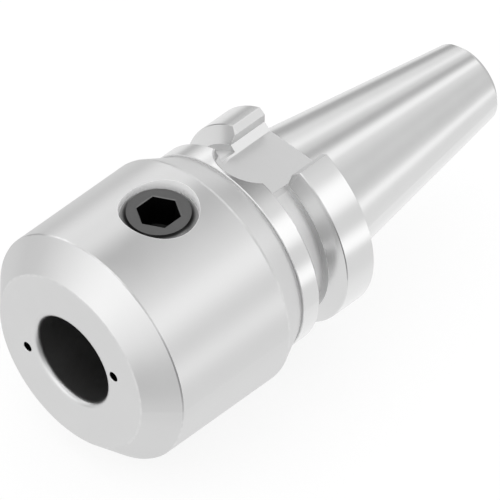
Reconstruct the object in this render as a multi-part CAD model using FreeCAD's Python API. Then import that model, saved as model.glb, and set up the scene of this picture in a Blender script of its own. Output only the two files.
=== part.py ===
"""Side lock end mill holder with a 7/24 steep taper, and the screw that clamps the cutter.

The holder is one turned, milled and ground piece of steel. One set screw is threaded into its
side and presses on the flat of the cutter's shank.

Frame, in millimetres: the origin is the centre of the taper's gauge line, +Y runs along the
spindle axis from the nose to the taper's small end, and +Z points up through the side screw.
"""
import FreeCAD, Part
import math
import os

# Lengths along the axis, from the gauge line or from the nose
gauge_length = 65.0
taper_length = 48.4
flange_setback = 2.0
flange_width = 20.0
groove_setback = 13.6
cone_length = 7.0
nose_chamfer = 6.0

# Radii of the turned outline, and the step from the rear cone's foot up to the flange
nose_radius = 20.0
flange_radius = 23.0
cone_foot_step = 0.5
gauge_radius = 15.875
taper_per_length = 7.0 / 24.0

# Gripper groove: a V whose flanks end above a square relief along its floor
groove_mouth_width = 8.0
groove_floor_width = 4.0
groove_angle = 60.0
groove_relief_depth = 1.5

# Small flats that break the sharp turned edges
flange_edge_break = 0.15
head_edge_break = 0.3
nose_edge_break = 0.2
taper_end_chamfer = 1.0

# Bore for the cutter's shank, and the wider chamber behind it
bore_radius = 10.0
bore_depth = 52.0
bore_mouth_radius = 1.4
chamber_undercut = 2.6
chamber_length = 3.5
chamber_front_slope = 0.5
drill_point_angle = 118.0

# Coolant channels in the nose and the passage from the drawbar's thread
channel_radius = 1.1
channel_wall = 1.9
channel_angle = 20.0
channel_mouth_chamfer = 0.1
passage_radius = 4.0

# Drawbar thread in the taper's small end, drawn at its outer radius
drawbar_thread_radius = 6.0
drawbar_pilot_clearance = 0.25
drawbar_pilot_depth = 7.0
drawbar_thread_depth = 24.0
drawbar_drill_radius = 5.1
drawbar_drill_depth = 34.0
drawbar_mouth_chamfer = 1.0

# Drive slots, cut across the flange by an end mill with chamfered corners
slot_width = 16.1
slot_floor_clearance = 0.13
slot_run = 11.0
slot_corner_chamfer = 1.5
slot_edge_chamfer = 1.7
slot_end_break = 0.4
largest_wall_share = 0.35

# Side lock screw and its hole
screw_from_nose = 25.0
screw_thread_radius = 8.0
screw_clearance = 0.05
screw_length = 14.0
screw_top_depth = 1.3
screw_top_chamfer = 1.4
screw_tip_chamfer = 1.6
pocket_clearance = 0.25
pocket_depth = 3.0
socket_across_flats = 8.0
socket_depth = 7.5

# Places that follow from the sizes above
origin = FreeCAD.Vector(0, 0, 0)
along_axis = FreeCAD.Vector(0, 1, 0)
upward = FreeCAD.Vector(0, 0, 1)
nose_y = -gauge_length
nose_outer_radius = nose_radius + nose_chamfer
flange_rear_y = -flange_setback
flange_front_y = flange_rear_y - flange_width
cone_front_y = flange_front_y - cone_length
cone_foot_radius = flange_radius - cone_foot_step
groove_centre_y = -groove_setback
chamber_radius = bore_radius + chamber_undercut
channel_circle_radius = bore_radius + channel_wall + channel_radius
drawbar_pilot_radius = drawbar_thread_radius + drawbar_pilot_clearance
screw_y = nose_y + screw_from_nose
screw_top_height = nose_outer_radius - screw_top_depth
pocket_radius = screw_thread_radius + pocket_clearance
pocket_floor_height = nose_outer_radius - pocket_depth
overshoot = 5.0
touching = 0.01
hexagon_sides = 6


def toward(corner, neighbour, distance):
    """The point on the way from a corner to its neighbour, at a distance from the corner."""
    side = neighbour - corner
    return corner + side * (distance / side.Length)


def taper_radius(y):
    """Radius of the 7/24 taper at a distance behind the gauge line."""
    return gauge_radius - y * taper_per_length / 2


def outline_corners():
    """Corners of the turned outline: radius, place along the axis, and the flat that breaks it."""
    mouth = groove_mouth_width / 2
    floor = groove_floor_width / 2
    shoulder_radius = flange_radius - (mouth - floor) / math.tan(math.radians(groove_angle / 2))
    floor_radius = shoulder_radius - groove_relief_depth
    taper_end = taper_length - taper_end_chamfer
    return [
        (0, nose_y, 0),
        (nose_radius, nose_y, nose_edge_break),
        (nose_outer_radius, nose_y + nose_chamfer, nose_edge_break),
        (nose_outer_radius, cone_front_y, head_edge_break),
        (cone_foot_radius, flange_front_y, 0),
        (flange_radius, flange_front_y, flange_edge_break),
        (flange_radius, groove_centre_y - mouth, flange_edge_break),
        (shoulder_radius, groove_centre_y - floor, 0),
        (floor_radius, groove_centre_y - floor, 0),
        (floor_radius, groove_centre_y + floor, 0),
        (shoulder_radius, groove_centre_y + floor, 0),
        (flange_radius, groove_centre_y + mouth, flange_edge_break),
        (flange_radius, flange_rear_y, flange_edge_break),
        (taper_radius(flange_rear_y), flange_rear_y, 0),
        (taper_radius(taper_end), taper_end, 0),
        (taper_radius(taper_end) - taper_end_chamfer, taper_length, 0),
        (0, taper_length, 0),
    ]


def turned_blank():
    """Solid of revolution of the outline, with its sharp corners broken by small flats."""
    corners = outline_corners()
    places = [FreeCAD.Vector(radius, y, 0) for radius, y, flat in corners]
    outline = [places[0]]
    for index in range(1, len(corners) - 1):
        before, corner, after = places[index - 1:index + 2]
        flat = corners[index][2]
        if flat == 0 or (corner - before).getAngle(after - corner) < touching:
            outline.append(corner)
        else:
            outline.append(toward(corner, before, flat))
            outline.append(toward(corner, after, flat))
    outline.append(places[-1])
    return revolve([(place.x, place.y) for place in outline])


def revolve(points):
    """Solid of revolution about the spindle axis from points of radius and length."""
    vectors = [FreeCAD.Vector(radius, y, 0) for radius, y in points]
    face = Part.Face(Part.makePolygon(vectors + vectors[:1]))
    return face.revolve(origin, along_axis, 360)


def shank_bore():
    """Bore for the cutter's shank, with the coolant chamber at its end."""
    bottom_y = nose_y + bore_depth
    chamber_front_y = bottom_y - chamber_length
    point_depth = bore_radius / math.tan(math.radians(drill_point_angle / 2))
    return revolve([
        (0, nose_y - overshoot),
        (bore_radius, nose_y - overshoot),
        (bore_radius, chamber_front_y),
        (chamber_radius, chamber_front_y + (chamber_radius - bore_radius) * chamber_front_slope),
        (chamber_radius, bottom_y),
        (bore_radius, bottom_y),
        (0, bottom_y + point_depth),
    ])


def drawbar_hole():
    """Pilot, thread and drill of the drawbar hole, and the passage from it to the bore."""
    end_y = taper_length
    thread_end_y = end_y - drawbar_thread_depth
    drill_end_y = end_y - drawbar_drill_depth
    thread_lead = drawbar_thread_radius - drawbar_drill_radius
    drill_step = drawbar_drill_radius - passage_radius
    passage_end_y = nose_y + bore_depth - overshoot
    mouth_radius = drawbar_pilot_radius + drawbar_mouth_chamfer
    return revolve([
        (0, passage_end_y),
        (passage_radius, passage_end_y),
        (passage_radius, drill_end_y - drill_step),
        (drawbar_drill_radius, drill_end_y),
        (drawbar_drill_radius, thread_end_y - thread_lead),
        (drawbar_thread_radius, thread_end_y),
        (drawbar_thread_radius, end_y - drawbar_pilot_depth),
        (drawbar_pilot_radius, end_y - drawbar_pilot_depth),
        (drawbar_pilot_radius, end_y - drawbar_mouth_chamfer),
        (mouth_radius, end_y),
        (mouth_radius, end_y + overshoot),
        (0, end_y + overshoot),
    ])


def coolant_channel(turn):
    """One coolant channel, from the nose face back to the chamber behind the shank."""
    depth = bore_depth - chamber_length / 2
    start = FreeCAD.Vector(0, -overshoot, 0)
    drill = Part.makeCylinder(channel_radius, depth + overshoot, start, along_axis)
    sink = 2 * channel_mouth_chamfer
    sink_start = FreeCAD.Vector(0, -channel_mouth_chamfer, 0)
    mouth = Part.makeCone(channel_radius + sink, channel_radius, sink, sink_start, along_axis)
    channel = drill.fuse(mouth)
    angle = math.radians(turn)
    channel.translate(FreeCAD.Vector(channel_circle_radius * math.cos(angle), nose_y,
                                     channel_circle_radius * math.sin(angle)))
    return channel


def slot_floor_height():
    """Height of the slot's floor, which clears the taper where it leaves the flange."""
    return taper_radius(flange_rear_y) + slot_floor_clearance


def slot_rim_height():
    """Height where the slot's walls meet the flange's outside."""
    return math.sqrt(flange_radius ** 2 - (slot_width / 2) ** 2)


def slot_corner_size(size):
    """Size of a corner cut of the slot, which takes at most its share of the wall."""
    wall = slot_rim_height() - slot_floor_height()
    return min(size, wall * largest_wall_share)


def slot_section():
    """Face across the drive slot, with its root corners and its top edges cut at an angle."""
    half = slot_width / 2
    floor = slot_floor_height()
    root = slot_corner_size(slot_corner_chamfer)
    lip = slot_corner_size(slot_edge_chamfer)
    wall_top = slot_rim_height() - lip
    slope = math.asin(half / flange_radius)
    flare_x = lip * math.cos(slope)
    flare_z = lip * (1 - math.sin(slope))
    top = (overshoot + flange_radius - wall_top) / flare_z
    side = [
        (half - root, floor),
        (half, floor + root),
        (half, wall_top),
        (half + flare_x * top, wall_top + flare_z * top),
    ]
    outline = side + [(-x, z) for x, z in reversed(side)]
    vectors = [FreeCAD.Vector(x, 0, z) for x, z in outline]
    return Part.Face(Part.makePolygon(vectors + vectors[:1]))


def drive_slot():
    """The top drive slot: its straight run and the round end that the end mill leaves."""
    centre_y = flange_rear_y - slot_run
    straight = slot_section().extrude(FreeCAD.Vector(0, slot_run + overshoot, 0))
    straight.translate(FreeCAD.Vector(0, centre_y, 0))
    half = slot_width / 2
    floor = slot_floor_height()
    root = slot_corner_size(slot_corner_chamfer)
    place = FreeCAD.Vector(0, centre_y, floor)
    corner = Part.makeCone(half - root, half, root, place, upward)
    shank_height = flange_radius - floor + overshoot
    shank = Part.makeCylinder(half, shank_height - root, place + upward * root, upward)
    rear_place = FreeCAD.Vector(-slot_width, centre_y, floor - overshoot)
    rear_half = Part.makeBox(2 * slot_width, slot_width, shank_height + 2 * overshoot, rear_place)
    round_end = corner.fuse(shank).cut(rear_half)
    return straight.fuse(round_end)


def screw_hole():
    """The screw's hole into the bore, drawn at the thread's outer radius, and its smooth pocket."""
    thread_place = FreeCAD.Vector(0, screw_y, 0)
    thread = Part.makeCylinder(screw_thread_radius, nose_outer_radius + overshoot, thread_place, upward)
    pocket_place = FreeCAD.Vector(0, screw_y, pocket_floor_height)
    pocket = Part.makeCylinder(pocket_radius, nose_outer_radius, pocket_place, upward)
    return thread.fuse(pocket)


def edges_at_radius(body, radius):
    """Each edge whose middle lies at a radius from the spindle axis, with that middle."""
    found = []
    for edge in body.Edges:
        middle = edge.valueAt((edge.FirstParameter + edge.LastParameter) / 2)
        if abs(math.hypot(middle.x, middle.z) - radius) < touching:
            found.append((edge, middle))
    return found


def slot_end_edges(body):
    """Curved edges where the round slot ends meet the flange's outside."""
    end_limit_y = flange_rear_y - slot_run
    outside = edges_at_radius(body, flange_radius)
    return [edge for edge, middle in outside if abs(middle.x) < slot_width / 2 and middle.y < end_limit_y]


def bore_mouth_edges(body):
    """The rim where the shank bore meets the nose face."""
    return [edge for edge, middle in edges_at_radius(body, bore_radius) if abs(middle.y - nose_y) < touching]


def make_holder_body():
    """The holder: the turned outline less its bores, slots, channels and screw hole."""
    body = turned_blank()
    slot = drive_slot()
    for turn in (0, 180):
        copy = slot.copy()
        copy.rotate(origin, along_axis, turn)
        body = body.cut(copy)
    body = body.makeChamfer(slot_corner_size(slot_end_break), slot_end_edges(body))
    body = body.cut(shank_bore())
    body = body.makeFillet(bore_mouth_radius, bore_mouth_edges(body))
    body = body.cut(drawbar_hole()).cut(screw_hole())
    for turn in (channel_angle, channel_angle + 180):
        body = body.cut(coolant_channel(turn))
    return body.removeSplitter()


def make_side_lock_screw():
    """The set screw with its hexagon socket, at the height where it stands in the holder."""
    radius = screw_thread_radius - screw_clearance
    bottom = screw_top_height - screw_length
    profile = [
        (0, bottom),
        (radius - screw_tip_chamfer, bottom),
        (radius, bottom + screw_tip_chamfer),
        (radius, screw_top_height - screw_top_chamfer),
        (radius - screw_top_chamfer, screw_top_height),
        (0, screw_top_height),
    ]
    vectors = [FreeCAD.Vector(r, 0, z) for r, z in profile]
    blank = Part.Face(Part.makePolygon(vectors + vectors[:1])).revolve(origin, upward, 360)
    screw = blank.cut(hexagon_socket())
    screw.translate(FreeCAD.Vector(0, screw_y, 0))
    return screw


def hexagon_socket():
    """Hexagon socket with a shallow drilled bottom, two of its corners along the axis."""
    corner_radius = socket_across_flats / 2 / math.cos(math.pi / hexagon_sides)
    floor = screw_top_height - socket_depth
    corners = []
    for step in range(hexagon_sides + 1):
        turn = 2 * math.pi * step / hexagon_sides
        corners.append(FreeCAD.Vector(corner_radius * math.sin(turn), corner_radius * math.cos(turn), floor))
    hexagon = Part.Face(Part.makePolygon(corners)).extrude(upward * (socket_depth + overshoot))
    drill_radius = socket_across_flats / 2
    drill_depth = drill_radius / math.tan(math.radians(drill_point_angle / 2))
    drill = Part.makeCone(0, drill_radius, drill_depth, FreeCAD.Vector(0, 0, floor - drill_depth), upward)
    return hexagon.fuse(drill)


def main():
    pieces = {
        "holder_body": make_holder_body(),
        "side_lock_screw": make_side_lock_screw(),
    }
    os.makedirs("parts", exist_ok=True)
    for name, shape in pieces.items():
        print(name, "valid", shape.isValid(), "solids", len(shape.Solids), "volume", round(shape.Volume, 1))
        shape.exportStep("parts/" + name + ".step")


main()
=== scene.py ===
"""Looks of the side lock end mill holder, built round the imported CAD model, in metres."""

import math

import bmesh
import bpy
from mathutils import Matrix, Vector

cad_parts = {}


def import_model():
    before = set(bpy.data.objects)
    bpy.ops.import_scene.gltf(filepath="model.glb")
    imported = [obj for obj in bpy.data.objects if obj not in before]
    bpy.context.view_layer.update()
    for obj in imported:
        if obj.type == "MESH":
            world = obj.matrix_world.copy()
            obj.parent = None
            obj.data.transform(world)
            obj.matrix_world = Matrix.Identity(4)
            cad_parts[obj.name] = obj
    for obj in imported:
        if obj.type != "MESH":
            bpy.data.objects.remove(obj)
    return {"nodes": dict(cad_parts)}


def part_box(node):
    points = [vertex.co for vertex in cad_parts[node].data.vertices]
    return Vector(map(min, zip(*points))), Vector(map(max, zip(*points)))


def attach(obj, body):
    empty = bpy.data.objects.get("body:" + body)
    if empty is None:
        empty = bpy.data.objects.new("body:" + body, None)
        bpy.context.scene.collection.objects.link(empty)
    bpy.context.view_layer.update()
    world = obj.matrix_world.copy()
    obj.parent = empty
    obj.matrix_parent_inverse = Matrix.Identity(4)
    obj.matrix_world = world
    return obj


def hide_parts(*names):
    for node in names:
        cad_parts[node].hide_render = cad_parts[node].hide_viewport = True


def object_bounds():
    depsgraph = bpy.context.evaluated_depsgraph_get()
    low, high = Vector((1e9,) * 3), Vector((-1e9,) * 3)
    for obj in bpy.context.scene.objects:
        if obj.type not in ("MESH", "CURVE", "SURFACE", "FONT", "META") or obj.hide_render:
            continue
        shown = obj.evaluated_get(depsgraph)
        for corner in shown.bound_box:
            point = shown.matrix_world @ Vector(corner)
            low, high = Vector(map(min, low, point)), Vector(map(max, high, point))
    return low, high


MM = 0.001
WHITE = (1.0, 1.0, 1.0, 1.0)

# Places along the spindle axis, from the gauge line
NOSE_Y = -65.0 * MM
NOSE_CHAMFER = 6.0 * MM
CONE_FRONT_Y = -29.0 * MM
FLANGE_FRONT_Y = -22.0 * MM
FLANGE_REAR_Y = -2.0 * MM
TAPER_END_Y = 48.4 * MM
GROOVE_CENTRE_Y = -13.6 * MM
GROOVE_HALF_WIDTH = 4.0 * MM
RELIEF_HALF_WIDTH = 2.0 * MM
ROOT_REACH = 0.5 * MM
SLOT_END_Y = -21.05 * MM

# Radii of the holder, and its slots, bores and screw pocket
NOSE_RADIUS = 20.0 * MM
HEAD_RADIUS = 26.0 * MM
FLANGE_RADIUS = 23.0 * MM
TAPER_END_RADIUS = 8.8 * MM
SLOT_FLOOR_HEIGHT = 16.3 * MM
SLOT_HALF_WIDTH = 8.05 * MM
SLOT_LIP = 1.8 * MM
BORE_RADIUS = 10.0 * MM
BORE_MOUTH_RADIUS = 1.4 * MM
CHANNEL_RADIUS = 1.1 * MM
CHANNEL_CIRCLE_RADIUS = 13.0 * MM
CHANNEL_ANGLE = 20.0
SCREW_Y = -40.0 * MM
POCKET_RADIUS = 8.25 * MM
POCKET_FLOOR_HEIGHT = 23.0 * MM

# How far a mask reaches past the faces that it tells apart
SKIN = 0.1 * MM
FINE_SKIN = 0.3 * SKIN

# Edges that handling rubs bright: place along the axis and radius
WORN_EDGES = [
    (NOSE_Y, NOSE_RADIUS),
    (NOSE_Y + NOSE_CHAMFER, HEAD_RADIUS),
    (CONE_FRONT_Y, HEAD_RADIUS),
    (FLANGE_FRONT_Y, FLANGE_RADIUS),
    (GROOVE_CENTRE_Y - GROOVE_HALF_WIDTH, FLANGE_RADIUS),
    (GROOVE_CENTRE_Y + GROOVE_HALF_WIDTH, FLANGE_RADIUS),
    (FLANGE_REAR_Y, FLANGE_RADIUS),
    (TAPER_END_Y, TAPER_END_RADIUS),
]

# Finish of the holder: grey levels and roughness, and what some surfaces add to them; the roots' level
# gain is painted light
STEEL_LEVELS = (0.65, 0.68)
MARK_LEVEL = 0.008
# Painted light: the groove's relief and the cone's root are set lighter, against the shade of these
# recesses
ROOT_PAINTED_LIGHT_GAIN = 0.1
# The slots' upright walls are set lighter than the other steel
KEY_FACE_LEVEL_GAIN = 0.12
WORN_LEVEL_GAIN = 0.03
SCORED_LEVEL_GAIN = -0.02
TURNED_ROUGHNESS = 0.36
GROUND_ROUGHNESS = 0.2
ROOT_ROUGHNESS = 0.5
MOTTLE_ROUGHNESS = 0.02
WORN_ROUGHNESS_GAIN = -0.04
SCORED_ROUGHNESS_GAIN = 0.04
TURNED_EDGE_TINT = 0.88

# Painted light on the pocket's wall, which is set pale and dull and leans to the sky in shading, and
# painted shade in the bores and channels
POCKET_PAINTED_LIGHT_LEVEL = 1.0
POCKET_ROUGHNESS = 0.5
POCKET_LIFT = 0.7
BORE_SHADE = 0.62
BORE_SHADE_START = 0.75 * BORE_MOUTH_RADIUS
BORE_SHADE_FULL = 1.2 * BORE_MOUTH_RADIUS
CHANNEL_SHADE = 0.02
CHANNEL_BRIGHT_DEPTH = 0.25 * MM

# Marks on the holder, with noise scales for each metre, or each radian round the axis
MOTTLE_SCALE = 160.0
MOTTLE_DETAIL = 3.0
GRAIN_SCALE = 3500.0
GRAIN_SHARE = 0.6
TURNING_SCALE = 5000.0
GROUND_MARK_SHARE = 0.5
MILLING_SCALE = 4000.0
MILLING_HEIGHT_SCALE = 900.0
HAIR_TURN_SCALE = 260.0
HAIR_LENGTH_SCALE = 45.0
HAIR_EDGES = (0.6, 0.72)
MARK_STRENGTH = 0.15
MARK_DEPTH = 0.002 * MM
WEAR_SCALE = 700.0
WEAR_DETAIL = 4.0
WEAR_BREAKS = (0.42, 0.62)
WEAR_CORE = 0.12 * MM
WEAR_REACH = 0.45 * MM

# Side lock screw
SCREW_TOP_Z = 24.7 * MM
SCREW_RADIUS = 7.95 * MM
SCREW_PITCH = 2.0 * MM
SCREW_THREAD_DEPTH = 1.1 * MM
SCREW_TIP_CHAMFER = 1.6 * MM
SCREW_TOP_CHAMFER = 1.4 * MM
HEXAGON_SIDES = 6
SOCKET_ACROSS_FLATS = 8.0 * MM
SOCKET_DEPTH = 7.5 * MM
SOCKET_LEAD = 0.15 * MM
DRILL_POINT_SLOPE = 31.0

# Finish of the screw: black oxide, rubbed at the socket's rim and the crests, painted shade in the socket
# and on the chamfer, lighter on the chamfer's outer part
OXIDE_LEVELS = (0.122, 0.148)
OXIDE_ROUGHNESS = (0.34, 0.44)
OXIDE_SCALE = 700.0
OXIDE_DETAIL = 4.0
OXIDE_RING_LEVEL = 0.012
OXIDE_RING_SCALE = 4500.0
OXIDE_STRENGTH = 0.2
OXIDE_DEPTH = 0.003 * MM
RUBBED_LEVEL_GAIN = 0.12
RIM_SHARE = 0.3
RIM_REACH = 0.25 * MM
CREST_REACH = 0.12 * MM
SOCKET_SHADE = 0.25
CHAMFER_SHADE = 0.1
CHAMFER_ROUGHNESS = 0.2
# The chamfer's outer part is set to a lighter grey, without the chamfer's painted shade
OUTER_CHAMFER_RADIUS = 7.35 * MM
OUTER_CHAMFER_BLEND = 0.5 * MM
OUTER_CHAMFER_LEVEL = 0.5
OUTER_CHAMFER_ROUGHNESS = 0.4

# Drawbar thread
DRAWBAR_PITCH = 1.75 * MM
DRAWBAR_THREAD_RADIUS = 6.0 * MM
DRAWBAR_DRILL_RADIUS = 5.1 * MM
DRAWBAR_PILOT_DEPTH = 7.0 * MM
DRAWBAR_THREAD_DEPTH = 24.0 * MM
THREAD_CLEARANCE = 0.02 * MM
CUT_LEVELS = (0.42, 0.5)
CUT_ROUGHNESS = (0.26, 0.34)
CUT_SCALE = 900.0

# Points and rows of both threads, their profile as shares of half a pitch, and how steep a sharp edge is
RING_POINTS = 120
ROWS_PER_PITCH = 20
THREAD_ROOT_SHARE = 0.2
THREAD_FLANK_SHARE = 0.65
SHARP_ANGLE = 32.0

# Camera, with its azimuth counted from +X toward +Y
CAMERA_AZIMUTH = -45.0
CAMERA_ELEVATION = 45.0
CAMERA_TARGET = Vector((-2.04, -12.21, -7.19)) * MM
CAMERA_DISTANCE = 4.468
CAMERA_LENS = 1600.0
CAMERA_SENSOR = 36.0
CAMERA_NEAR = 0.1
CAMERA_FAR = 20.0

# Floor
FLOOR_GAP = 0.1 * MM
FLOOR_SIZE = 6.0
FLOOR_LEVELS = (0.93, 0.95)
FLOOR_ROUGHNESS = 0.9
FLOOR_GRAIN_SCALE = 300.0
FLOOR_GLOW = 1.06
FLOOR_GLOW_SHARE = 0.75

# Soft boxes of the studio, and dark flags, whose added light is negative. Each row is an azimuth
# from +X toward +Y, an elevation and a radius in degrees, and the added light. The rows stand under
# the surfaces that show them most in the main view. A fit to the reflections in the photo gave 18
# of the rows and STUDIO_LEVEL, and the other rows were set one by one.
STUDIO = [
    # Head and flange lands
    (33, 32, 12, 0.62),
    (156, 13, 12, 0.46),
    (137, 39, 9, 0.87),
    (36, -11, 8, 0.72),
    (-177, 72, 33, -0.97),
    (74, -63, 21, 0.10),
    # Taper
    (144, 0, 11, -0.51),
    (54, 19, 17, -0.21),
    (85, 44, 5, 0.50),
    (105, 43, 5, -0.36),
    # Nose chamfer
    (-98, 63, 37, 0.64),
    (-12, -8, 30, -0.69),
    (175, -2, 14, -0.63),
    (-156, 2, 6, -0.20),
    (-61, 14, 11, 0.24),
    (160, -36, 14, -0.05),
    # Cone behind the head
    (85, -3, 4, 1.24),
    (106, 6, 7, -0.77),
    # Rear flank of the groove
    (-79, -7, 6, 0.77),
    (-81, -12, 5, -0.80),
    (-145, -2, 7, -0.64),
    (18, -12, 5, 1.00),
    # Small chamfers along the edges, and the screw's
    (154, 82, 16, 1.13),
    (-18, 63, 10, -1.14),
    (-45, 45, 12, -0.60),
    (-178, 31, 13, 0.85),
    (-163, 58, 9, 0.60),
    (112, -30, 10, -0.42),
]
STUDIO_LEVEL = 1.017
SOFT_EDGE = 0.55


class Graph:
    """Adds and links the nodes of one material or of the world."""

    def __init__(self, tree):
        self.tree = tree
        tree.nodes.clear()

    def add(self, kind, *inputs, **settings):
        node = self.tree.nodes.new("ShaderNode" + kind)
        for name, value in settings.items():
            setattr(node, name, value)
        for place, value in enumerate(inputs):
            self.put(node, place, value)
        return node

    def put(self, node, place, value):
        if isinstance(value, bpy.types.NodeSocket):
            self.tree.links.new(value, node.inputs[place])
        else:
            node.inputs[place].default_value = value

    def math(self, operation, *inputs):
        return self.add("Math", *inputs, operation=operation).outputs[0]

    def plus(self, value, other):
        return self.math("ADD", value, other)

    def minus(self, value, other):
        return self.math("SUBTRACT", value, other)

    def times(self, value, other):
        return self.math("MULTIPLY", value, other)

    def above(self, value, limit):
        return self.math("GREATER_THAN", value, limit)

    def below(self, value, limit):
        return self.math("LESS_THAN", value, limit)

    def near(self, value, centre, reach):
        """1 where a value is within reach of a centre."""
        return self.math("COMPARE", value, centre, reach)

    def both(self, *masks):
        """1 where every mask is 1."""
        product = masks[0]
        for mask in masks[1:]:
            product = self.times(product, mask)
        return product

    def unless(self, mask):
        return self.minus(1.0, mask)

    def raised(self, value, mask, gain):
        """Value with a gain added where the mask is 1."""
        return self.plus(value, self.times(mask, gain))

    def dimmed(self, value, mask, share):
        """Value of which a share is left where the mask is 1."""
        return self.times(value, self.mix(mask, 1.0, share))

    def length(self, *parts):
        vector = self.add("CombineXYZ", *parts).outputs[0]
        return self.add("VectorMath", vector, operation="LENGTH").outputs["Value"]

    def ramp(self, value, start, end, low=0.0, high=1.0):
        """Smooth step from low at start to high at end."""
        node = self.add("MapRange", value, start, end, low, high, interpolation_type="SMOOTHSTEP")
        return node.outputs[0]

    def mix(self, factor, low, high):
        """Number between low and high."""
        return self.add("MapRange", factor, 0.0, 1.0, low, high).outputs[0]

    def noise(self, place, scale, detail=2.0):
        node = self.add("TexNoise", place)
        self.put(node, "Scale", scale)
        self.put(node, "Detail", detail)
        return node.outputs[0]

    def lines(self, first, first_scale, second, second_scale):
        """Noise over two coordinates with a scale each. It doesn't change along any other direction."""
        first = self.times(first, first_scale)
        second = self.times(second, second_scale)
        return self.noise(self.add("CombineXYZ", first, second, 0.0).outputs[0], 1.0)

    def bump(self, height, strength, distance):
        node = self.add("Bump")
        self.put(node, "Strength", strength)
        self.put(node, "Distance", distance)
        self.put(node, "Height", height)
        return node.outputs[0]

    def grey(self, level):
        return self.add("CombineColor", level, level, level).outputs[0]

    def principled(self, level, roughness, metallic, normal=None):
        """Principled shader of one grey level."""
        shader = self.add("BsdfPrincipled")
        self.put(shader, "Base Color", self.grey(level))
        self.put(shader, "Roughness", roughness)
        self.put(shader, "Metallic", metallic)
        if normal is not None:
            self.put(shader, "Normal", normal)
        return shader


def new_material(name):
    material = bpy.data.materials.new(name)
    material.use_nodes = True
    return material, Graph(material.node_tree)


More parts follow.
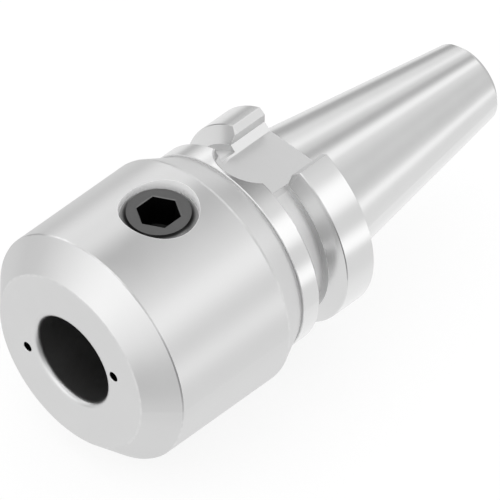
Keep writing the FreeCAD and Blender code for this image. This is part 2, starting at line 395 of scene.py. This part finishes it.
class HolderSurface:
    """Coordinates of a point on the holder, masks of the surfaces told apart by place, and marks."""

    def __init__(self, g):
        self.g = g
        self.point = g.add("TexCoord").outputs["Object"]
        self.x, self.y, self.z = g.add("SeparateXYZ", self.point).outputs
        self.radius = g.length(self.x, 0.0, self.z)
        self.side = g.math("ABSOLUTE", self.x)
        self.height = g.math("ABSOLUTE", self.z)
        self.behind_flange = g.above(self.y, FLANGE_REAR_Y)
        self.below_lands = g.below(self.radius, FLANGE_RADIUS - SKIN)
        self.groove = self.find_groove()
        self.slot = self.find_slot()
        self.key_faces = self.find_key_faces()
        self.roots = self.find_roots()
        self.ground = g.both(g.above(self.y, FLANGE_FRONT_Y + SKIN), g.unless(self.slot))
        self.channels = self.find_channels()
        self.bore = self.find_bore()
        self.pocket = self.find_pocket()
        self.worn = self.worn_edges()
        self.scored = self.insertion_marks()
        self.mottle = g.noise(self.point, MOTTLE_SCALE, MOTTLE_DETAIL)
        self.marks = g.mix(self.slot, self.turning_marks(), self.milling_marks())

    def find_groove(self):
        """The gripper groove with its relief."""
        g = self.g
        within = g.near(self.y, GROOVE_CENTRE_Y, GROOVE_HALF_WIDTH)
        outside_bore = g.unless(g.below(self.radius, BORE_RADIUS + SKIN))
        return g.both(within, self.below_lands, outside_bore)

    def find_slot(self):
        """Floor and walls of the drive slots, and their lips outside the groove."""
        g = self.g
        reach = g.mix(self.groove, SLOT_HALF_WIDTH + SLOT_LIP, SLOT_HALF_WIDTH + SKIN)
        along = g.both(g.above(self.y, SLOT_END_Y - SKIN), g.unless(self.behind_flange))
        across = g.both(g.below(self.side, reach), g.above(self.height, SLOT_FLOOR_HEIGHT - SKIN))
        return g.both(along, across, self.below_lands)

    def find_key_faces(self):
        """Upright walls of the drive slots, which the level sets lighter than the other steel."""
        return self.g.both(self.slot, self.g.near(self.side, SLOT_HALF_WIDTH, FINE_SKIN))

    def find_roots(self):
        """Square relief below the groove's flanks, and the root where the rear cone meets the flange."""
        g = self.g
        relief = g.both(self.groove, g.near(self.y, GROOVE_CENTRE_Y, RELIEF_HALF_WIDTH + FINE_SKIN))
        root = g.both(g.near(self.y, FLANGE_FRONT_Y, ROOT_REACH), self.below_lands)
        return g.both(g.math("MAXIMUM", relief, root), g.unless(self.slot))

    def find_channels(self):
        """Walls of the two coolant channels."""
        g = self.g
        angle = math.radians(CHANNEL_ANGLE)
        walls = []
        for circle_radius in (CHANNEL_CIRCLE_RADIUS, -CHANNEL_CIRCLE_RADIUS):
            x = g.minus(self.x, circle_radius * math.cos(angle))
            z = g.minus(self.z, circle_radius * math.sin(angle))
            walls.append(g.below(g.length(x, 0.0, z), CHANNEL_RADIUS + FINE_SKIN))
        along = g.both(g.above(self.y, NOSE_Y + CHANNEL_BRIGHT_DEPTH), g.below(self.y, CONE_FRONT_Y))
        return g.both(g.math("MAXIMUM", *walls), along)

    def find_bore(self):
        """Rises through the rounded mouth to 1 along the shank bore and the chamber."""
        g = self.g
        depth = g.ramp(self.y, NOSE_Y + BORE_SHADE_START, NOSE_Y + BORE_SHADE_FULL)
        mouth = g.below(self.radius, BORE_RADIUS + BORE_MOUTH_RADIUS)
        return g.both(depth, mouth, g.unless(self.behind_flange), g.unless(self.channels))

    def find_pocket(self):
        """Wall of the pocket round the side lock screw."""
        g = self.g
        away = g.length(self.x, g.minus(self.y, SCREW_Y), 0.0)
        return g.both(g.below(away, POCKET_RADIUS + SKIN / 2), g.above(self.z, POCKET_FLOOR_HEIGHT - SKIN))

    def worn_edges(self):
        """Broken bright lines along the turned edges."""
        g = self.g
        outline = g.add("CombineXYZ", self.y, self.radius, 0.0).outputs[0]
        nearest = 1.0
        for y, radius in WORN_EDGES:
            away = g.add("VectorMath", outline, (y, radius, 0.0), operation="DISTANCE").outputs["Value"]
            nearest = g.math("MINIMUM", away, nearest)
        broken = g.ramp(g.noise(self.point, WEAR_SCALE, WEAR_DETAIL), *WEAR_BREAKS)
        return g.both(g.ramp(nearest, WEAR_CORE, WEAR_REACH, 1.0, 0.0), broken)

    def insertion_marks(self):
        """Faint hairlines along the taper from going in and out of the spindle."""
        g = self.g
        angle = g.math("ARCTAN2", self.z, self.x)
        hair = g.lines(angle, HAIR_TURN_SCALE, self.y, HAIR_LENGTH_SCALE)
        return g.both(g.ramp(hair, *HAIR_EDGES), self.behind_flange)

    def turning_marks(self):
        """Rings left by the turning tool and the grinding wheel, about 0.2 mm apart."""
        return self.g.lines(self.y, TURNING_SCALE, self.radius, TURNING_SCALE)

    def milling_marks(self):
        """Arcs that the end mill leaves on a slot's floor as it feeds along the axis."""
        g = self.g
        squared = g.minus(SLOT_HALF_WIDTH ** 2, g.times(self.side, self.side))
        sagitta = g.math("SQRT", g.math("MAXIMUM", squared, 0.0))
        return g.lines(g.minus(self.y, sagitta), MILLING_SCALE, self.height, MILLING_HEIGHT_SCALE)


def holder_level(g, surface):
    """Grey level, with tool marks and wear on the steel, painted light on the pocket's wall and the roots,
    and painted shade in the bores.
    """
    level = g.plus(g.mix(surface.mottle, *STEEL_LEVELS), g.mix(surface.marks, -MARK_LEVEL, MARK_LEVEL))
    level = g.raised(level, surface.worn, WORN_LEVEL_GAIN)
    level = g.raised(level, surface.scored, SCORED_LEVEL_GAIN)
    # Painted light in the roots of the groove and the cone
    level = g.raised(level, surface.roots, ROOT_PAINTED_LIGHT_GAIN)
    level = g.raised(level, surface.key_faces, KEY_FACE_LEVEL_GAIN)
    # Painted light: the pocket's wall is set to a pale grey so that it looks lit
    level = g.mix(surface.pocket, level, POCKET_PAINTED_LIGHT_LEVEL)
    # Painted shade in the bores and the coolant channels
    level = g.dimmed(level, surface.bore, BORE_SHADE)
    return g.dimmed(level, surface.channels, CHANNEL_SHADE)


def holder_roughness(g, surface):
    """Roughness, lower on the ground surfaces than on the turned head."""
    roughness = g.mix(surface.ground, TURNED_ROUGHNESS, GROUND_ROUGHNESS)
    roughness = g.plus(roughness, g.mix(surface.mottle, -MOTTLE_ROUGHNESS, MOTTLE_ROUGHNESS))
    roughness = g.raised(roughness, surface.scored, SCORED_ROUGHNESS_GAIN)
    roughness = g.raised(roughness, surface.worn, WORN_ROUGHNESS_GAIN)
    roughness = g.mix(surface.roots, roughness, ROOT_ROUGHNESS)
    return g.mix(surface.pocket, roughness, POCKET_ROUGHNESS)


def holder_normal(g, surface):
    """Bump of the tools' marks and the grain, with the pocket's wall leaning to the sky."""
    grain = g.noise(surface.point, GRAIN_SCALE)
    marks = g.dimmed(surface.marks, surface.ground, GROUND_MARK_SHARE)
    normal = g.bump(g.plus(marks, g.times(grain, GRAIN_SHARE)), MARK_STRENGTH, MARK_DEPTH)
    lift = g.add("CombineXYZ", 0.0, 0.0, g.times(surface.pocket, POCKET_LIFT)).outputs[0]
    normal = g.add("VectorMath", normal, lift, operation="ADD").outputs[0]
    return g.add("VectorMath", normal, operation="NORMALIZE").outputs[0]


def holder_material():
    """Turned head, ground flange and taper, milled slots, and painted shade in the bores."""
    material, g = new_material("holder_steel")
    surface = HolderSurface(g)
    level = holder_level(g, surface)
    roughness = holder_roughness(g, surface)
    # The pocket's wall is not metal, as part of its painted light
    shader = g.principled(level, roughness, g.unless(surface.pocket), holder_normal(g, surface))
    g.put(shader, "Specular Tint", g.grey(g.mix(surface.ground, TURNED_EDGE_TINT, 1.0)))
    g.add("OutputMaterial", shader.outputs[0])
    return material


def half_across_flats(g, x, along):
    """Half the width across flats of the hexagon through a point, turned as the socket is."""
    half = 0.0
    for step in range(HEXAGON_SIDES // 2):
        angle = 2 * math.pi * step / HEXAGON_SIDES
        flat = g.plus(g.times(x, math.cos(angle)), g.times(along, math.sin(angle)))
        half = g.math("MAXIMUM", half, g.math("ABSOLUTE", flat))
    return half


class ScrewSurface:
    """Masks of the lock screw's surfaces, in its place at rest, and marks."""

    def __init__(self, g):
        point = g.add("TexCoord").outputs["Object"]
        x, y, z = g.add("SeparateXYZ", point).outputs
        along = g.minus(y, SCREW_Y)
        away = g.length(x, along, 0.0)
        half = half_across_flats(g, x, along)
        lead_z = SCREW_TOP_Z - SOCKET_LEAD
        chamfer_z = SCREW_TOP_Z - SCREW_TOP_CHAMFER
        chamfer_radius = SCREW_RADIUS - SCREW_TOP_CHAMFER
        self.socket = g.both(g.below(half, SOCKET_ACROSS_FLATS / 2 + FINE_SKIN), g.below(z, lead_z))
        self.rim = g.both(g.near(half, SOCKET_ACROSS_FLATS / 2, RIM_REACH), g.above(z, lead_z))
        self.chamfer = g.both(g.above(away, chamfer_radius + FINE_SKIN), g.above(z, chamfer_z))
        self.crest = g.both(g.above(away, SCREW_RADIUS - CREST_REACH), g.below(z, chamfer_z))
        self.outer_chamfer = g.both(self.chamfer, g.ramp(away, OUTER_CHAMFER_RADIUS - OUTER_CHAMFER_BLEND, OUTER_CHAMFER_RADIUS + OUTER_CHAMFER_BLEND))
        self.mottle = g.noise(point, OXIDE_SCALE, OXIDE_DETAIL)
        self.rings = g.lines(away, OXIDE_RING_SCALE, z, OXIDE_RING_SCALE)


def screw_level(g, surface):
    """Grey level, with painted shade in the socket and on the chamfer, rubbed crests, and a lighter outer
    part of the chamfer.
    """
    rubbed = g.math("MAXIMUM", g.times(surface.rim, RIM_SHARE), surface.crest)
    rings = g.mix(surface.rings, -OXIDE_RING_LEVEL, OXIDE_RING_LEVEL)
    level = g.plus(g.mix(surface.mottle, *OXIDE_LEVELS), rings)
    level = g.raised(level, g.times(rubbed, surface.mottle), RUBBED_LEVEL_GAIN)
    # Painted shade in the hexagon socket and on the top chamfer
    level = g.dimmed(level, surface.socket, SOCKET_SHADE)
    level = g.dimmed(level, surface.chamfer, CHAMFER_SHADE)
    # Lighter grey on the chamfer's outer part, in place of its painted shade
    return g.mix(surface.outer_chamfer, level, OUTER_CHAMFER_LEVEL)


def screw_material():
    """Black oxide on turned steel."""
    material, g = new_material("screw_black_oxide")
    surface = ScrewSurface(g)
    chamfer_roughness = g.mix(surface.outer_chamfer, CHAMFER_ROUGHNESS, OUTER_CHAMFER_ROUGHNESS)
    roughness = g.mix(surface.chamfer, g.mix(surface.mottle, *OXIDE_ROUGHNESS), chamfer_roughness)
    normal = g.bump(g.plus(surface.rings, surface.mottle), OXIDE_STRENGTH, OXIDE_DEPTH)
    shader = g.principled(screw_level(g, surface), roughness, 1.0, normal)
    g.add("OutputMaterial", shader.outputs[0])
    return material


def thread_material():
    """Bright cut steel of the drawbar thread."""
    material, g = new_material("thread_steel")
    mottle = g.noise(g.add("TexCoord").outputs["Object"], CUT_SCALE)
    shader = g.principled(g.mix(mottle, *CUT_LEVELS), g.mix(mottle, *CUT_ROUGHNESS), 1.0)
    g.add("OutputMaterial", shader.outputs[0])
    return material


def ring_mesh(name, rings, closed=False):
    """Mesh of rings joined in order. A ring is a list of points, or one point that closes an end."""
    mesh = bmesh.new()
    rows = []
    for ring in rings:
        rows.append([mesh.verts.new(point) for point in ring])
    pairs = list(zip(rows, rows[1:]))
    if closed:
        pairs.append((rows[-1], rows[0]))
    for low, high in pairs:
        count = max(len(low), len(high))
        for index in range(count):
            following = (index + 1) % count
            if len(low) == 1:
                mesh.faces.new((low[0], high[following], high[index]))
            elif len(high) == 1:
                mesh.faces.new((low[index], low[following], high[0]))
            else:
                mesh.faces.new((low[index], low[following], high[following], high[index]))
    bmesh.ops.recalc_face_normals(mesh, faces=mesh.faces)
    data = bpy.data.meshes.new(name)
    mesh.to_mesh(data)
    mesh.free()
    data.shade_smooth()
    data.set_sharp_from_angle(angle=math.radians(SHARP_ANGLE))
    piece = bpy.data.objects.new(name, data)
    bpy.context.scene.collection.objects.link(piece)
    return piece


def ring_turns():
    """Places of a ring's points, in turns."""
    return [index / RING_POINTS for index in range(RING_POINTS)]


def thread_rows(start, end, pitch):
    """Places of a thread's rows along its axis."""
    count = round(abs(end - start) / pitch * ROWS_PER_PITCH)
    return [start + (end - start) * row / count for row in range(count + 1)]


def thread_lead(place, start, end, pitch):
    """Rises from 0 at a thread's ends to 1 half a pitch inside them."""
    return min(1.0, min(abs(place - start), abs(end - place)) / (pitch / 2))


def thread_fill(turns):
    """How far a thread's crest stands at a place counted in turns: 0 in the root, 1 on the crest."""
    rise = abs(2.0 * (turns % 1.0) - 1.0)
    return min(1.0, max(0.0, (rise - THREAD_ROOT_SHARE) / THREAD_FLANK_SHARE))


def screw_point(radius, turn, z, centre):
    angle = 2 * math.pi * turn
    return centre + Vector((radius * math.cos(angle), radius * math.sin(angle), z))


def round_ring(radius, z, centre):
    return [screw_point(radius, turn, z, centre) for turn in ring_turns()]


def threaded_ring(radius, z, centre, lead):
    points = []
    for turn in ring_turns():
        fill = thread_fill(z / SCREW_PITCH - turn)
        points.append(screw_point(radius - SCREW_THREAD_DEPTH * (1.0 - fill) * lead, turn, z, centre))
    return points


def hexagon_ring(across, z, centre):
    """Hexagon with two corners along the spindle axis and as many points as a round ring."""
    side = 1 / HEXAGON_SIDES
    points = []
    for turn in ring_turns():
        from_flat = (turn + side / 2) % side - side / 2
        reach = across / 2 / math.cos(2 * math.pi * from_flat)
        points.append(screw_point(reach, turn, z, centre))
    return points


def socket_rings(top, centre):
    """The hexagon socket from its lead at the top to its drill point."""
    floor = top - SOCKET_DEPTH
    drill_radius = SOCKET_ACROSS_FLATS / 2
    point_depth = drill_radius * math.tan(math.radians(DRILL_POINT_SLOPE))
    return [
        hexagon_ring(SOCKET_ACROSS_FLATS + 2 * SOCKET_LEAD, top, centre),
        hexagon_ring(SOCKET_ACROSS_FLATS, top - SOCKET_LEAD, centre),
        hexagon_ring(SOCKET_ACROSS_FLATS, floor, centre),
        round_ring(drill_radius, floor, centre),
        [centre + Vector((0, 0, floor - point_depth))],
    ]


def lock_screw():
    """Set screw with a cut thread, a hexagon socket and a chamfered top."""
    low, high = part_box("side_lock_screw")
    radius = (high.x - low.x) / 2
    centre = Vector(((low.x + high.x) / 2, (low.y + high.y) / 2, 0.0))
    start = low.z + SCREW_TIP_CHAMFER
    end = high.z - SCREW_TOP_CHAMFER
    rings = [[centre + Vector((0, 0, low.z))]]
    rings.append(round_ring(radius - SCREW_TIP_CHAMFER, low.z, centre))
    for z in thread_rows(start, end, SCREW_PITCH):
        rings.append(threaded_ring(radius, z, centre, thread_lead(z, start, end, SCREW_PITCH)))
    rings.append(round_ring(radius - SCREW_TOP_CHAMFER, high.z, centre))
    screw = ring_mesh("lock_screw_threaded", rings + socket_rings(high.z, centre))
    screw.data.materials.append(screw_material())
    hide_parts("side_lock_screw")
    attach(screw, "lock_screw")
    return screw


def drawbar_point(radius, turn, y):
    angle = 2 * math.pi * turn
    return Vector((radius * math.cos(angle), y, radius * math.sin(angle)))


def drawbar_thread():
    """The drawbar's female thread: a sleeve whose inner face is the helical crest and root."""
    start = TAPER_END_Y - DRAWBAR_PILOT_DEPTH - THREAD_CLEARANCE
    end = TAPER_END_Y - DRAWBAR_THREAD_DEPTH + THREAD_CLEARANCE
    outer = DRAWBAR_THREAD_RADIUS - THREAD_CLEARANCE
    depth = outer - 2 * THREAD_CLEARANCE - DRAWBAR_DRILL_RADIUS
    rings = []
    for y in (end, start):
        rings.append([drawbar_point(outer, turn, y) for turn in ring_turns()])
    for y in thread_rows(start, end, DRAWBAR_PITCH):
        lead = thread_lead(y, start, end, DRAWBAR_PITCH)
        ring = []
        for turn in ring_turns():
            fill = thread_fill(y / DRAWBAR_PITCH + turn)
            ring.append(drawbar_point(DRAWBAR_DRILL_RADIUS + depth * (1.0 - fill * lead), turn, y))
        rings.append(ring)
    sleeve = ring_mesh("drawbar_thread", rings, closed=True)
    sleeve.data.materials.append(thread_material())
    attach(sleeve, "holder")
    return sleeve


def floor_material():
    """White, with a glow toward the camera that leaves only a faint shadow."""
    material, g = new_material("floor_white")
    grain = g.noise(g.add("TexCoord").outputs["Object"], FLOOR_GRAIN_SCALE)
    shader = g.principled(g.mix(grain, *FLOOR_LEVELS), FLOOR_ROUGHNESS, 0.0)
    glow = g.add("Emission", WHITE, FLOOR_GLOW)
    share = g.times(g.add("LightPath").outputs["Is Camera Ray"], FLOOR_GLOW_SHARE)
    blend = g.add("MixShader", share, shader.outputs[0], glow.outputs[0])
    g.add("OutputMaterial", blend.outputs[0])
    return material


def make_floor(low):
    mesh = bmesh.new()
    bmesh.ops.create_grid(mesh, x_segments=1, y_segments=1, size=FLOOR_SIZE / 2)
    data = bpy.data.meshes.new("floor")
    mesh.to_mesh(data)
    mesh.free()
    data.materials.append(floor_material())
    floor = bpy.data.objects.new("floor", data)
    floor.location = (0, 0, low.z - FLOOR_GAP)
    floor.visible_glossy = False
    bpy.context.scene.collection.objects.link(floor)


def direction(azimuth, elevation):
    """Unit vector at an azimuth from +X toward +Y and an elevation, in degrees."""
    a = math.radians(azimuth)
    e = math.radians(elevation)
    return (math.cos(a) * math.cos(e), math.sin(a) * math.cos(e), math.sin(e))


def make_world():
    """White to the camera and to matte surfaces, and a studio of soft boxes and flags in reflections."""
    world = bpy.data.worlds.new("studio")
    bpy.context.scene.world = world
    world.use_nodes = True
    g = Graph(world.node_tree)
    ray = g.add("TexCoord").outputs["Generated"]
    level = STUDIO_LEVEL
    for azimuth, elevation, reach, gain in STUDIO:
        lobe = g.add("VectorMath", ray, direction(azimuth, elevation), operation="DOT_PRODUCT")
        outer = math.cos(math.radians(reach * (1 + SOFT_EDGE)))
        inner = math.cos(math.radians(reach * (1 - SOFT_EDGE)))
        level = g.plus(level, g.ramp(lobe.outputs["Value"], outer, inner, 0.0, gain))
    glossy = g.add("LightPath").outputs["Is Glossy Ray"]
    level = g.mix(glossy, 1.0, g.math("MAXIMUM", level, 0.0))
    background = g.add("Background", WHITE, level)
    g.add("OutputWorld", background.outputs[0])


def make_camera():
    data = bpy.data.cameras.new("camera")
    data.lens = CAMERA_LENS
    data.sensor_width = CAMERA_SENSOR
    data.clip_start = CAMERA_NEAR
    data.clip_end = CAMERA_FAR
    camera = bpy.data.objects.new("camera", data)
    back = Vector(direction(CAMERA_AZIMUTH, CAMERA_ELEVATION))
    camera.location = CAMERA_TARGET + back * CAMERA_DISTANCE
    camera.rotation_euler = (-back).to_track_quat("-Z", "Y").to_euler()
    bpy.context.scene.collection.objects.link(camera)
    bpy.context.scene.camera = camera


def main():
    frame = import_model()
    cad_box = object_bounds()
    holder = frame["nodes"]["holder_body"]
    material = holder_material()
    for slot in holder.material_slots:
        slot.material = material
    lock_screw()
    drawbar_thread()
    make_floor(cad_box[0])
    make_world()
    make_camera()
    bpy.context.scene.view_settings.view_transform = "Standard"


main()
